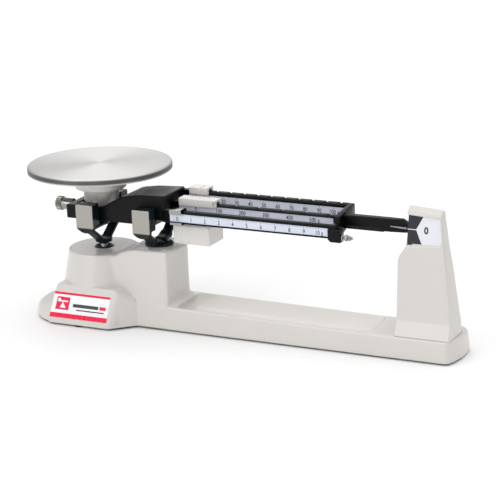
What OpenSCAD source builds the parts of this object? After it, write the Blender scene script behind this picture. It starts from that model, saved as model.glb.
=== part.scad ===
// Triple beam balance: a weighing plate on a parallel-motion hanger, a three-rail beam with
// sliding poises, and a cast base whose right-hand post carries the zero index.
// Lengths are in millimetres. Every part is drawn with X measured from the plate's axis and
// Z from the lower edge of the casting; placed() then moves it to the model's origin, which
// is on the table, under the middle of the whole balance.

/* [Plate and hanger] */
// Diameter of the weighing plate
plate_d = 152.4; // [140:0.1:156]
// Height of the plate's top face above the casting's lower edge
plate_top_z = 165; // [163:0.5:170]
// Thickness of the plate's sheet
plate_t = 1.4; // [1:0.05:1.6]
// Depth of the plate's turned-down rim
plate_rim_h = 7.5; // [6:0.5:9]
// Diameter of the hub's upper disc
hub_d = 55.4; // [50:0.2:58]

/* [Lever] */
// Distance from the load knife edges to the fulcrum knife edges
load_arm = 67; // [66:0.5:68]
// Height of both knife edge lines
knife_z = 115; // [114.5:0.1:115.5]
// Largest tilt of the beam each way, in degrees
tilt_max = 2; // [1:0.1:2]
// Height of the check link's pivots
link_z = 18; // [17:0.5:19]

/* [Beam] */
// Distance between the outer faces of the beam's two arms
beam_w = 46; // [44:0.5:47]
// Left end of the three rails
rail_x0 = 88; // [87:0.5:89]
// Right end of the three rails
rail_x1 = 273.6; // [273:0.2:275]
// Height of the printed scale strips
scale_h = 8.6; // [8:0.1:8.8]
// Pitch of the marks on the front rail, for one gram
front_pitch = 15.8; // [15:0.1:16]
// Pitch of the notches on the middle rail, for a hundred grams
middle_pitch = 26.56; // [26:0.02:26.6]
// Pitch of the notches on the rear rail, for ten grams
rear_pitch = 15.5; // [15:0.1:15.5]

/* [Base] */
// Left end of the base, from the plate's axis
base_x0 = -78.5; // [-80:0.5:-78]
// Right end of the base, from the plate's axis
base_x1 = 404.5; // [403:0.5:406]
// Wall thickness of the casting
wall = 3; // [2.5:0.1:3.5]
// Height of the rubber feet below the casting
foot_h = 2; // [1.5:0.5:3]

/* [Post] */
// Wall thickness of the post housing
post_wall = 2; // [1.6:0.1:2]
// Depth of the post housing from front to back
post_w = 44; // [43:0.5:46]

/* [Hidden] */
$fn = 72;
EPS = 0.01;

// The plate's axis, from the middle of the base
pan_x = -(base_x0 + base_x1) / 2;
plate_r = plate_d / 2;
beam_y = beam_w / 2;
fulcrum_x = load_arm;

// Knife edges and bearings, measured from the knife line
knife_r = 0.5;          // rounding of the working edge
knife_gap = 0.06;       // running clearance in the bearing groove
knife_tip_y = 34;       // outer end of each knife
bearing_y0 = 27;        // inner end of each bearing block
bearing_y1 = 33.6;
bearing_half = 4.5;
bearing_h = 8;

// Bearing covers
cover_half = 10;
cover_y = 38;
cover_y_in = beam_y + 0.8;
cover_top = 127.7;
cover_side_z = 102.5;
cover_low_z = 96.5;
cover_t = 0.8;

// Rails: height of each rail's top edge, and its scale strip's lower edge
front_rail_y = -23.2;
front_rail_z0 = 113.7;
front_rail_z1 = 127.7;
front_scale_z = 115.4;
middle_rail_y = -2;
middle_rail_z0 = 117.5;
middle_rail_z1 = 131.4;
middle_scale_z = 120.1;
rear_rail_y = 20;
rear_rail_z0 = 124;
rear_rail_z1 = 138.4;
rear_scale_z = 125.5;
rail_t = 5;
strip_t = 0.6;
strip_x0 = 94;

// Base sections
slab_z0 = 25;           // height of the slab beside the fulcrum block
slab_z1 = 21.5;         // height of the slab under the post
slab_y0 = 31.5;         // half width at the lower edge
slab_y1 = 30;           // half width at the top
slab_flat_x = 330;      // where the slab's top becomes level
slab_x0 = 28;           // the slab's left end, inside the wide end
neck_x = 58;            // where the wide end has narrowed to the slab's width
end_sagitta = 6;        // bulge of the slab's right-hand end
lobe_r = 53;
lobe_x = base_x0 + lobe_r;
pillar_top_z = 73.8;
pillar_top_r = 37.3;
pillar_low_r = 51.6;
block_top_z = 82.5;
block_y = 30;
block_x = 93;           // right-hand face of the fulcrum block
block_rear_r = 21;      // rounding of its right rear edge
stem_hole_r = 9.5;
foot_r = 6;
foot_places = [[-8, -46.5, 8], [-8, 46.5, 8], [380, -21, 17], [380, 21, 17]];   // last: boss height
tray_x0 = 108;
tray_x1 = 312;
tray_half = 25;         // half width of the tray at the slab's top
tray_depth = 9;
post_screw_x = [352, 388];

// Wedge in front of the pillar, whose sloping face carries the label
wedge_low = [-42.5, 31];    // ends of the face at its foot
wedge_top = [-34, 38];      // ends of the face at its upper edge
wedge_top_z = 41;
shoulder_z = 25;            // where the wedge's right shoulder has fallen to the slab
wedge_low_y = -53.3;
wedge_top_y = -44.3;
label_low = [-41, 28.3];
label_top = [-35.3, 31.8];
label_z0 = 6.4;
label_z1 = 33.4;
label_t = 0.4;

// Beam's tail and the slot it swings in
tail_half = 4;
tail_tip_half = 3.5;
tail_z0 = 120.4;
tail_z1 = 133.8;
tail_tip_z = 131;
tail_x1 = 362;
tail_swing = (tail_x1 - load_arm) * tan(tilt_max);
slot_z0 = tail_z0 - tail_swing - 1.3;
slot_z1 = tail_tip_z + tail_swing + 2.7;

// Post: front and rear faces lean inwards up to a gabled cap
post_x0 = 341.3;
post_z0 = 36.8;
post_lean = 0.1414;     // inward lean of the front and rear faces
post_over = 160;        // any height above the cap
roof_x0 = 347.9;
roof_z = 149.6;         // left end of the cap's ridge
roof_pitch = 0.87;
roof_fall = 4;          // fall of the ridge to the right, in degrees
window_z0 = 113.3;
window_z1 = 140.4;
index_x0 = 348.9;
index_low_x = 384.2;
index_top_x = 381.6;
index_t = 0.8;

// Index and pointer
zero_z = 126.5;
pointer_x0 = 329;
pointer_x1 = 347.4;
pointer_reach = 8;      // how far the pointer's tip stands out from the symmetry plane
pointer_h = 1;

function unit(v) = v / norm(v);

// Points of an arc of radius r that rounds the corner p between its neighbours a and b
function corner(p, a, b, r, n = 8) =
    let (u = unit(a - p), v = unit(b - p), half = acos(u * v) / 2,
         c = p + unit(u + v) * r / sin(half),
         s = p + u * r / tan(half) - c, e = p + v * r / tan(half) - c,
         a0 = atan2(s[1], s[0]), turn = atan2(s[0] * e[1] - s[1] * e[0], s * e))
    [for (i = [0 : n]) c + r * [cos(a0 + turn * i / n), sin(a0 + turn * i / n)]];

// A closed outline whose points are [x, y, corner radius]
function outline(pts) =
    let (n = len(pts), q = [for (p = pts) [p[0], p[1]]])
    [for (i = [0 : n - 1])
        each pts[i][2] > 0
            ? corner(q[i], q[(i + n - 1) % n], q[(i + 1) % n], pts[i][2])
            : [q[i]]];

module placed() translate([pan_x, 0, foot_h]) children();

// Extrude an outline of X and Z between two Y values
module along_y(pts, y0, y1) translate([0, y1, 0]) rotate([90, 0, 0])
    linear_extrude(y1 - y0) polygon(pts);

// Extrude an outline of Y and Z between two X values
module along_x(pts, x0, x1) translate([x0, 0, 0]) rotate([90, 0, 90])
    linear_extrude(x1 - x0) polygon(pts);

module block(x0, x1, y0, y1, z0, z1) translate([x0, y0, z0])
    cube([x1 - x0, y1 - y0, z1 - z0]);

module rod_x(x0, x1, y, z, r) translate([x0, y, z]) rotate([0, 90, 0])
    cylinder(h = x1 - x0, r = r);

module rod_y(x, y0, y1, z, r) translate([x, y0, z]) rotate([-90, 0, 0])
    cylinder(h = y1 - y0, r = r);

module both_sides() {
    children();
    mirror([0, 1, 0]) children();
}

// ---- Base ----

// Plan of the slab: straight sides and a gently bulging right-hand end
function slab_plan(inset) =
    let (half = slab_y0 - inset,
         r = (slab_y0 * slab_y0 + end_sagitta * end_sagitta) / (2 * end_sagitta),
         cx = base_x1 - inset - r, swing = asin(half / r))
    [[slab_x0, half], [slab_x0, -half], for (i = [-12 : 12])
        [cx + r * cos(swing * i / 12), r * sin(swing * i / 12)]];

// Solid shape of the long slab; inset shrinks it on every side except the open underside
module slab_form(inset) {
    lift = inset > 0 ? EPS : 0;
    intersection() {
        along_x([[-slab_y0 + inset, -lift], [slab_y0 - inset, -lift],
                 [slab_y1 - inset, slab_z0], [-slab_y1 + inset, slab_z0]], slab_x0, base_x1);
        along_y([[slab_x0, -lift], [slab_x0, slab_z0 - inset], [neck_x, slab_z0 - inset],
                 [slab_flat_x, slab_z1 - inset], [base_x1, slab_z1 - inset], [base_x1, -lift]],
                -slab_y0, slab_y0);
        translate([0, 0, -lift]) linear_extrude(slab_z0 + 1) polygon(slab_plan(inset));
    }
}

// Outline of the wide left end, moved in by a distance
module lobe_outline(inset) {
    translate([lobe_x, 0]) circle(lobe_r - inset, $fn = 96);
    polygon([[lobe_x, inset - lobe_r], [wedge_low[1], inset - lobe_r],
             [neck_x - inset, inset - slab_y0], [neck_x - inset, slab_y0 - inset],
             [wedge_low[1], lobe_r - inset], [lobe_x, lobe_r - inset]]);
}

// The wide left end, with a heavily rounded upper edge
module lobe_form(inset) {
    lift = inset > 0 ? EPS : 0;
    hull() for (s = [[0, 0], [12, 1], [18, 3.5], [22.5, 8], [25, 15]])
        translate([0, 0, max(s[0] - inset, -lift)]) linear_extrude(EPS)
            lobe_outline(s[1] + inset);
}

// The round pillar below the plate
module pillar_form(inset) {
    drop = inset > 0 ? EPS : 0;
    translate([0, 0, -drop]) rotate_extrude()
        polygon([[0, 0], [pillar_low_r - inset, 0],
                 each corner([pillar_top_r - inset, pillar_top_z - inset],
                             [pillar_low_r - inset, 0], [0, pillar_top_z - inset], 3),
                 [0, pillar_top_z - inset]]);
}

// The block that carries the fulcrum: flat in front, rounded at its right rear edge
module fulcrum_block_form(inset) intersection() {
    lift = inset > 0 ? EPS : 0;
    along_y(outline([[20, -lift, 0], [20, pillar_top_z - inset, 0],
                     [29 + inset, pillar_top_z - inset, 0],
                     [45 + inset, block_top_z - inset, 4],
                     [block_x - inset, block_top_z - inset, 5], [block_x - inset, -lift, 0]]),
            inset - block_y, block_y - inset);
    translate([0, 0, -1]) linear_extrude(block_top_z + 2) polygon(outline([
        [20, inset - block_y, 0], [block_x - 3 - inset, inset - block_y, 2 - inset / 2],
        [block_x - inset, -block_y / 2, 0],
        [block_x - inset, block_y - inset, block_rear_r - inset], [20, block_y - inset, 0]]));
}

// Depth of the wedge's sloping face at a height z
function face_y(z) = wedge_low_y + (wedge_top_y - wedge_low_y) * z / wedge_top_z;

// Front view of the wedge, with its sides moved in by a distance
function wedge_front(inset, z0, z1) =
    [[wedge_low[0] + inset, z0], [neck_x - inset, z0], [neck_x - inset, shoulder_z - inset],
     [wedge_top[1] - inset, z1], [wedge_top[0] + inset, z1]];

module label_wedge_form(inset) {
    low = inset > 0 ? -EPS : 0;
    top = wedge_top_z - inset;
    intersection() {
        along_x(outline([[0, low, 0], [0, top, 0], [face_y(top) + inset, top, 3],
                         [face_y(low) + inset, low, 0]]), -60, 60);
        along_y(wedge_front(inset, low, top), -60, 0);
        translate([0, 0, low]) linear_extrude(wedge_top_z + 1) union() {
            lobe_outline(inset);
            translate([lobe_x - lobe_r, inset - lobe_r]) square([lobe_r, lobe_r]);
        }
    }
}

// Everything in front of the wedge's sloping face, across the wedge's width
module label_face_cut(inset) intersection() {
    along_x([[-70, -1], [face_y(-1) + inset, -1], [face_y(wedge_top_z) + inset, wedge_top_z],
             [-70, wedge_top_z]], -60, 60);
    along_y(wedge_front(-inset, -1, wedge_top_z), -70, 0);
}

module base_form(inset) {
    slab_form(inset);
    difference() {
        lobe_form(inset);
        label_face_cut(inset);
    }
    pillar_form(inset);
    fulcrum_block_form(inset);
    label_wedge_form(inset);
}

// Shallow round-bottomed tray along the slab
module tray_cut() {
    r = (tray_half * tray_half + tray_depth * tray_depth) / (2 * tray_depth);
    rod_x(tray_x0, tray_x1, 0, slab_z1 + 1 - tray_depth + r, r);
}

module tray_shell() intersection() {
    slab_form(0);
    difference() {
        block(block_x - 1, tray_x1 + 3, -28, 28, 7, slab_z0);
        tray_cut();
    }
}

module base_casting() color([0.88, 0.87, 0.85]) placed() difference() {
    union() {
        difference() {
            base_form(0);
            base_form(wall);
        }
        tray_shell();
        intersection() {
            base_form(0);
            for (p = foot_places) translate([p[0], p[1], 0]) cylinder(h = p[2], r = foot_r + 1);
        }
    }
    tray_cut();
    translate([0, 0, pillar_top_z - 6]) cylinder(h = 10, r = stem_hole_r);
    translate([fulcrum_x, 0, block_top_z - 6]) cylinder(h = 10, r = 4);
    for (x = post_screw_x) translate([x, 0, slab_z1 - 6]) cylinder(h = 10, r = 2);
}

module rubber_feet() color([0.12, 0.12, 0.12]) placed()
    for (p = foot_places) translate([p[0], p[1], -foot_h])
        cylinder(h = foot_h, r1 = foot_r - 0.6, r2 = foot_r);

// Sticker on the sloping face of the wedge
module label_plate() color([0.95, 0.95, 0.96]) placed() intersection() {
    along_x([[face_y(0) - label_t, 0], [face_y(0), 0],
             [face_y(wedge_top_z), wedge_top_z], [face_y(wedge_top_z) - label_t, wedge_top_z]],
            -60, 60);
    along_y([[label_low[0], label_z0], [label_low[1], label_z0],
             [label_top[1], label_z1], [label_top[0], label_z1]], -60, 0);
}

// Black cup around the hole that the hanger's stem passes through
module stem_grommet() color([0.08, 0.08, 0.09]) placed() translate([0, 0, pillar_top_z])
    rotate_extrude() polygon([[6, -5], [stem_hole_r, -5], [stem_hole_r, 0], [stem_hole_r, 1],
                              [8.2, 1.4], [6.6, -2]]);

// ---- Fulcrum ----

module fork_leg() {
    hull() {
        block(fulcrum_x - 6, fulcrum_x + 6, 4, 11, block_top_z + 2, block_top_z + 4);
        block(fulcrum_x - 5, fulcrum_x + 5, 27, 31, 99, 100);
    }
    block(fulcrum_x - 5, fulcrum_x + 5, 26.5, 33.6, 99, knife_z - bearing_h);
    block(fulcrum_x - 5, fulcrum_x + 5, 33.6, cover_y - cover_t, 99, 105);
}

module fulcrum_fork() color([0.09, 0.09, 0.1]) placed() {
    translate([fulcrum_x, 0, block_top_z]) rotate_extrude()
        polygon([[0, -14], [4, -14], [4, 0], [15, 0], [15, 1.6], [11, 4.5], [0, 4.5]]);
    both_sides() fork_leg();
}

// Nut that draws the fork down on the casting
module fulcrum_nut() color([0.6, 0.6, 0.62]) placed()
    translate([fulcrum_x, 0, block_top_z - wall - 6]) difference() {
        cylinder(h = 6, r = 8, $fn = 6);
        translate([0, 0, -1]) cylinder(h = 8, r = 4);
    }

// One bearing block whose groove opens upwards, on the line x, z
module bearing(x, z) difference() {
    block(x - bearing_half, x + bearing_half, bearing_y0, bearing_y1, z - bearing_h, z + 2);
    rod_y(x, bearing_y0 - 1, bearing_y1 + 1, z, knife_r + knife_gap);
    along_y([[x - knife_r - knife_gap, z], [x + knife_r + knife_gap, z],
             [x + 3.2, z + 2.2], [x - 3.2, z + 2.2]], bearing_y0 - 1, bearing_y1 + 1);
}

// One knife whose working edge points down on the line x, z, with a round shank in the arm
module knife(x, z) {
    rod_y(x, beam_y, knife_tip_y, z, knife_r);
    along_y([[x - knife_r, z], [x - 2.2, z + 3.5], [x - 2.2, z + 5], [x + 2.2, z + 5],
             [x + 2.2, z + 3.5], [x + knife_r, z]], beam_y, knife_tip_y);
    rod_y(x, beam_y - 6, beam_y, z + 2.5, 2.4);
}

// Turns a part upside down about the knife line
module over_knife_line() translate([0, 0, 2 * knife_z]) mirror([0, 0, 1]) children();

module fulcrum_bearings() color([0.7, 0.7, 0.72]) placed()
    both_sides() bearing(fulcrum_x, knife_z);

module fulcrum_knives() color([0.7, 0.7, 0.72]) placed()
    both_sides() knife(fulcrum_x, knife_z);

module hanger_bearings() color([0.7, 0.7, 0.72]) placed()
    both_sides() over_knife_line() bearing(0, knife_z);

module load_knives() color([0.7, 0.7, 0.72]) placed()
    both_sides() over_knife_line() knife(0, knife_z);

// Front view of a bearing cover: square shoulders and a round lower end
function cover_outline(inset) =
    let (half = cover_half - inset, sag = cover_side_z - cover_low_z,
         r = (cover_half * cover_half + sag * sag) / (2 * sag), c = cover_low_z + r,
         swing = asin(cover_half / r))
    [[-half, cover_top - inset],
     for (i = [-8 : 8]) [(r - inset) * sin(swing * i / 8), c - (r - inset) * cos(swing * i / 8)],
     [half, cover_top - inset]];

module cover(x) translate([x, 0, 0]) difference() {
    along_y(cover_outline(0), cover_y_in, cover_y);
    along_y(cover_outline(cover_t), cover_y_in - 1, cover_y - cover_t);
    block(-cover_half - 1, cover_half + 1, cover_y_in - 1, 32.5, cover_low_z - 1, cover_side_z + 2);
    rod_y(0, cover_y - 4, cover_y + 1, cover_side_z - 1.2, 0.9);
}

module fulcrum_covers() color([0.65, 0.63, 0.6]) placed() both_sides() cover(fulcrum_x);

module hanger_covers() color([0.65, 0.63, 0.6]) placed() both_sides() cover(0);

// ---- Check link, which keeps the hanger upright ----

module link_bracket() color([0.6, 0.6, 0.62]) placed() {
    block(fulcrum_x - 7, fulcrum_x + 7, wall - block_y, block_y - wall, 26, 28);
    both_sides() difference() {
        block(fulcrum_x - 7, fulcrum_x + 7, 6, 8, 10, 26);
        rod_y(fulcrum_x, 5, 9, link_z, 2.5);
    }
}

module link_pin() color([0.75, 0.75, 0.77]) placed() rod_y(fulcrum_x, -9.5, 9.5, link_z, 2.5);

module check_link() color([0.6, 0.6, 0.62]) placed() difference() {
    union() {
        block(0, load_arm, -4, 4, link_z - 2.5, link_z + 2.5);
        rod_y(0, -4, 4, link_z, 6);
        rod_y(load_arm, -4, 4, link_z, 6);
    }
    rod_y(0, -5, 5, link_z, 3.3);
    rod_y(load_arm, -5, 5, link_z, 4);
}

module link_bush() color([0.72, 0.58, 0.3]) placed() difference() {
    rod_y(load_arm, -4.5, 4.5, link_z, 4);
    rod_y(load_arm, -5, 5, link_z, 2.55);
}

// ---- Hanger ----

// Cross bar under the arms, an upright outside each arm, and the spindle below the hub
module hanger_bracket() color([0.09, 0.1, 0.11]) placed() {
    block(-5.5, 5.5, cover_t - cover_y, cover_y - cover_t, 98.5, 101.5);
    translate([0, 0, 101.5]) cylinder(h = 17.5, r = 6);
    both_sides() {
        block(-5.5, 5.5, 34.5, cover_y - cover_t, 101.5, knife_z + bearing_h + 2.5);
        block(-5.5, 5.5, 26.5, 34.5, knife_z + bearing_h, knife_z + bearing_h + 2.5);
    }
}

// Two strips that run in to the stem's collar
module hanger_legs() color([0.09, 0.12, 0.14]) placed() {
    both_sides() hull() {
        block(-5.5, 5.5, 28, 31, 98, 98.5);
        block(-5.5, 5.5, 5, 8, 82.5, 83);
    }
    translate([0, 0, 79]) cylinder(h = 4, r = 9);
}

// Stem with a forked lower end
module hanger_stem() color([0.55, 0.56, 0.58]) placed() {
    translate([0, 0, link_z + 8]) cylinder(h = 79 - link_z - 8, r = 4);
    difference() {
        block(-5, 5, -7.5, 7.5, link_z - 6, link_z + 10);
        block(-6, 6, -4.8, 4.8, link_z - 7, link_z + 8);
        rod_y(0, -8, 8, link_z, 2.5);
    }
}

module stem_pin() color([0.75, 0.75, 0.77]) placed() rod_y(0, -8.5, 8.5, link_z, 2.5);

// Bell-shaped hub with a socket for the plate's spigot
module pan_hub() color([0.88, 0.87, 0.85]) placed() rotate_extrude()
    polygon(outline([[0, 119, 0], [10.5, 119, 2], [12, 124, 6], [20.5, 137, 4],
                     [hub_d / 2, 139, 2.5], [hub_d / 2, plate_top_z - plate_t, 0],
                     [5.05, plate_top_z - plate_t, 0], [5.05, 145, 0], [0, 145, 0]]));

// Plate with a turned-down rim and a spigot that sits in the hub
module weighing_plate() color([0.72, 0.72, 0.71]) placed() translate([0, 0, plate_top_z])
    rotate_extrude($fn = 144) polygon(outline([
        [0, 0, 0], [plate_r, 0, 3], [plate_r, -plate_rim_h, 0],
        [plate_r - plate_t, -plate_rim_h, 0], [plate_r - plate_t, -plate_t, 3 - plate_t],
        [5, -plate_t, 0], [5, -18, 0], [0, -18, 0]]));

// ---- Beam ----

// Side view of the beam's arms and its arched body
beam_side = outline([
    [-30.4, 107.8, 1], [-30.4, 122.7, 1.5], [12, 122.7, 24], [38, 136.6, 30],
    [58, 139.5, 60], [rail_x0, 141, 2], [rail_x0, 114.5, 2], [77, 114.5, 2], [75, 107.8, 3]]);

module rail(y, z0, z1, lip_z, foot_z) {
    block(rail_x0 - 4, rail_x1 + 1, y, y + rail_t, z0, z1);
    block(rail_x0 - 1, rail_x1 + 1, y - 1.2, y + 1, lip_z, z1);
    block(rail_x0 - 1, rail_x1 + 1, y - 1.2, y + 1, z0, foot_z);
}

// V-shaped notches across a rail's top edge
module notches(first, pitch, count, y, z) for (i = [0 : count - 1])
    along_y([[first + i * pitch - 1.4, z + EPS], [first + i * pitch, z - 1.6],
             [first + i * pitch + 1.4, z + EPS]], y - 2, y + rail_t + 1);

module beam_casting() color([0.09, 0.09, 0.1]) placed() difference() {
    union() {
        along_y(beam_side, -beam_y, beam_y);
        rail(front_rail_y, front_rail_z0, front_rail_z1, front_scale_z + scale_h, front_scale_z);
        rail(middle_rail_y, middle_rail_z0, middle_rail_z1, middle_scale_z + scale_h, middle_scale_z);
        rail(rear_rail_y, rear_rail_z0, rear_rail_z1, rear_scale_z + scale_h, rear_scale_z);
        along_x([[-24.4, front_rail_z0], [-24.4, front_rail_z1], [-14, front_rail_z1], [-14, 134],
                 [25, rear_rail_z1], [25, rear_rail_z0], [3, middle_rail_z0], [-8, front_rail_z0]],
                rail_x1, 279.6);
        along_y([[271, 113], [274, 110.5], [285, 110.5], [285, 123.5], [271, 123.5]], -26, -17);
        along_y([[279, tail_z0], [279, tail_z1], [340, tail_z1], [345, tail_tip_z],
                 [349, tail_tip_z], [349, tail_z0 + 0.6], [344, tail_z0]], -tail_half, tail_half);
        block(348, tail_x1, -tail_tip_half, tail_tip_half, tail_z0 + 0.6, tail_tip_z);
    }
    block(-22, 28, -16, 16, 100, 145);
    along_y([[33, 100], [33, 126], [44, 133], [rail_x0 - 4, 136], [rail_x0 - 4, 117.5],
             [74, 117.5], [71, 100]], 4 - beam_y, beam_y - 4);
    notches(130.3, middle_pitch, 6, middle_rail_y, middle_rail_z1);
    notches(109.9, rear_pitch, 11, rear_rail_y, rear_rail_z1);
    both_sides() rod_y(fulcrum_x, beam_y - 6, beam_y + 1, knife_z + 2.5, 2.4);
    both_sides() rod_y(0, beam_y - 6, beam_y + 1, knife_z - 2.5, 2.4);
    rod_x(-31, -24, 0, 116.5, 3);
    rod_x(281, 286, -23, 115.7, 1.5);
}

module scale_strip(y, z, x1) block(strip_x0, x1, y - strip_t, y, z + 0.02, z + scale_h - 0.02);

module front_scale() color([0.86, 0.88, 0.94]) placed()
    scale_strip(front_rail_y, front_scale_z, 270.9);

module middle_scale() color([0.86, 0.88, 0.94]) placed()
    scale_strip(middle_rail_y, middle_scale_z, 267.5);

module rear_scale() color([0.86, 0.88, 0.94]) placed()
    scale_strip(rear_rail_y, rear_scale_z, 270);

// Fin on the tail's front whose tip points at the zero line
module pointer() color([0.85, 0.87, 0.9]) placed() translate([0, 0, zero_z - pointer_h / 2])
    linear_extrude(pointer_h) polygon([[pointer_x0, -tail_half], [pointer_x1, -pointer_reach],
                                       [pointer_x1, -tail_half]]);

// Aluminium blade that moves between the damper's magnets
module damper_vane() color([0.75, 0.76, 0.78]) placed()
    block(tail_x1, tail_x1 + 16, -0.75, 0.75, 119, 132);

module zero_screw() color([0.75, 0.75, 0.77]) placed() rod_x(-50, -24, 0, 116.5, 3);

module zero_knob() color([0.7, 0.7, 0.71]) placed() difference() {
    union() {
        rod_x(-54, -47, 0, 116.5, 7.5);
        rod_x(-47, -34.5, 0, 116.5, 6.3);
    }
    rod_x(-50.5, -34, 0, 116.5, 3.05);
}

module end_stud() color([0.75, 0.75, 0.77]) placed() rod_x(281, 297, -23, 115.7, 1.5);

// Washer, round nut and lock nut on the stud: [place, thickness, radius]
module end_nuts() color([0.78, 0.78, 0.8]) placed()
    for (n = [[286, 1.2, 3.6], [289.4, 2.6, 3.2], [293.4, 1.4, 2.6]]) difference() {
        rod_x(n[0], n[0] + n[1], -23, 115.7, n[2]);
        rod_x(n[0] - 1, n[0] + n[1] + 1, -23, 115.7, 1.5);
    }

// ---- Rider and poises ----

// Clip that grips the front rail from behind
module front_rider() color([0.8, 0.8, 0.81]) placed()
    along_x([[-27.2, 123.6], [-27.2, 129.2], [-17.2, 129.2], [-17.2, 112.2], [-26.4, 112.2],
             [-26.4, 114.9], [-25.6, 114.9], [-25.6, 113], [-18, 113], [-18, 128.4],
             [-26.4, 128.4], [-26.4, 123.6]], 95, 108.6);

module rider_grip() color([0.1, 0.1, 0.11]) placed()
    along_x([[-17.2, 129.2], [-17.2, 112.2], [-18, 112.2], [-18, 129.2]], 108.6, 110.2);

module saddle(x0, x1, y0, y1, z0, z1, slot_y0, slot_y1, slot_z, pin_x, pin_z) difference() {
    block(x0, x1, y0, y1, z0, z1);
    block(x0 - 1, x1 + 1, slot_y0, slot_y1, z0 - 1, slot_z);
    rod_y(pin_x, slot_y0 - 1.4, slot_y1 + 1.4, pin_z, 1.2);
}

module middle_poise_saddle() color([0.92, 0.91, 0.89]) placed()
    saddle(95, 138, -6.4, 6.6, 127.7, 136.2, -3.5, 3.4, 134, 130.3, middle_rail_z1 + 1.3);

module middle_poise_pin() color([0.7, 0.7, 0.72]) placed()
    rod_y(130.3, -4.9, 4.8, middle_rail_z1 + 1.3, 1.2);

module middle_poise_weight() color([0.92, 0.91, 0.89]) placed() {
    block(92.5, 135, -16, 16, 89.7, 109.7);
    block(98, 132, 3.4, 6.6, 109.7, 127.7);
}

module rear_poise_saddle() color([0.92, 0.91, 0.89]) placed()
    saddle(96.2, 118.2, 15.5, 29.5, 134.9, 142.6, 18.5, 25.3, 141.2, 109.9, rear_rail_z1 + 1.3);

module rear_poise_pin() color([0.7, 0.7, 0.72]) placed()
    rod_y(109.9, 17.1, 26.7, rear_rail_z1 + 1.3, 1.2);

module rear_poise_weight() color([0.92, 0.91, 0.89]) placed() {
    block(96.2, 118.2, 25.6, 29.5, 113, 134.9);
    block(96.2, 118.2, 18.5, 25.6, 113, 121);
}

// ---- Post ----

// Distance from the symmetry plane to the post's front or rear face at a height z
function post_half(z) = post_w / 2 - post_lean * (z - post_z0);

// Front view of the post above its skirt, moved in by a distance
function post_side(inset) = outline([
    [post_x0 + inset, post_z0 - inset, 0], [340.1 + inset, 98, 3], [347 + inset, 108, 2],
    [348.6 + inset, window_z1, 0], [roof_x0 + inset, post_over, 0],
    [383.4 - inset, post_over, 0], [387.2 - inset, 112, 40], [398.7 - inset, post_z0 - inset, 0]]);

module post_form(inset) intersection() {
    low = post_z0 - inset;
    along_y(post_side(inset), -post_w, post_w);
    along_x([[inset - post_half(low), low], [post_half(low) - inset, low],
             [post_half(post_over) - inset, post_over], [inset - post_half(post_over), post_over]],
            post_x0 - 10, base_x1);
    translate([roof_x0, 0, roof_z - 1.33 * inset]) rotate([0, roof_fall, 0])
        along_x([[0, 0], [-post_w, -roof_pitch * post_w], [-post_w, -post_over],
                 [post_w, -post_over], [post_w, -roof_pitch * post_w]], -30, 80);
}

// Layer parallel to the post's front face, between two depths behind it
module front_layer(d0, d1) {
    low = 100;
    along_x([[d0 - post_half(low), low], [d1 - post_half(low), low],
             [d1 - post_half(post_over), post_over], [d0 - post_half(post_over), post_over]],
            post_x0 - 10, base_x1);
}

module skirt_form(inset) hull() {
    block(340 + inset, 399 - inset, inset - 18, 18 - inset, slab_z1, slab_z1 + EPS);
    block(340 + inset, 396.5 - inset, inset - 28, 28 - inset, slab_z1, slab_z1 + EPS);
    block(post_x0 + inset, 398.4 - inset, inset - post_w / 2, post_w / 2 - inset,
          post_z0, post_z0 + EPS);
}

module post_housing() color([0.88, 0.87, 0.85]) placed() {
    difference() {
        union() {
            post_form(0);
            skirt_form(0);
        }
        post_form(post_wall);
        skirt_form(post_wall);
        intersection() {
            front_layer(-1, post_wall + 0.5);
            along_y([[post_x0, window_z0], [index_low_x, window_z0], [index_top_x, window_z1 - 1.6],
                     [post_x0, window_z1]], -post_w, 0);
        }
        block(post_x0 - 5, 352, -post_w, 0, window_z0, window_z1);
        block(post_x0 - 5, 352, -tail_half - 1.5, tail_half + 2.4, slot_z0, slot_z1);
    }
    difference() {
        union() {
            for (x = post_screw_x) translate([x, 0, slab_z1]) cylinder(h = 14, r = 4.5);
            block(341, 398, -1.2, 1.2, slab_z1, slab_z1 + 5);
        }
        for (x = post_screw_x) translate([x, 0, slab_z1 - 1]) cylinder(h = 12, r = 2);
    }
}

module post_screws() color([0.6, 0.6, 0.62]) placed() for (x = post_screw_x)
    translate([x, 0, slab_z1 - wall]) {
        translate([0, 0, -2.5]) cylinder(h = 2.5, r = 4);
        cylinder(h = wall + 10, r = 2);
    }

// Fixed index behind the window: its zero line meets the pointer
module index_plate() color([0.93, 0.95, 0.97]) placed() intersection() {
    front_layer(post_wall, post_wall + index_t);
    along_y([[index_x0, window_z0 - 0.5], [index_low_x, window_z0 - 0.5],
             [index_top_x, window_z1 - 1], [index_x0, window_z1 + 0.4]], -post_w, 0);
}

// Channel that holds the magnets, with a strip along the rear of the slot and a foot
module damper_bracket() color([0.6, 0.6, 0.62]) placed() {
    block(346, 377, 5, 6, slot_z0 + 0.4, 130.5);
    block(345.6, 347, 4.7, 6, slot_z0 + 0.4, 138.5);
    block(364, 377, 5, 6, 103.6, 130.5);
    block(364, 377, -6, -5, 103.6, 128);
    block(364, 377, -6, 6, 103.6, 104.8);
    block(366, 375, 6, post_half(106) - post_wall, 104.8, 106);
}

module damper_magnets() color([0.3, 0.3, 0.32]) placed() both_sides()
    block(364, 376, 2.2, 5, 117, 128);

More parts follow.
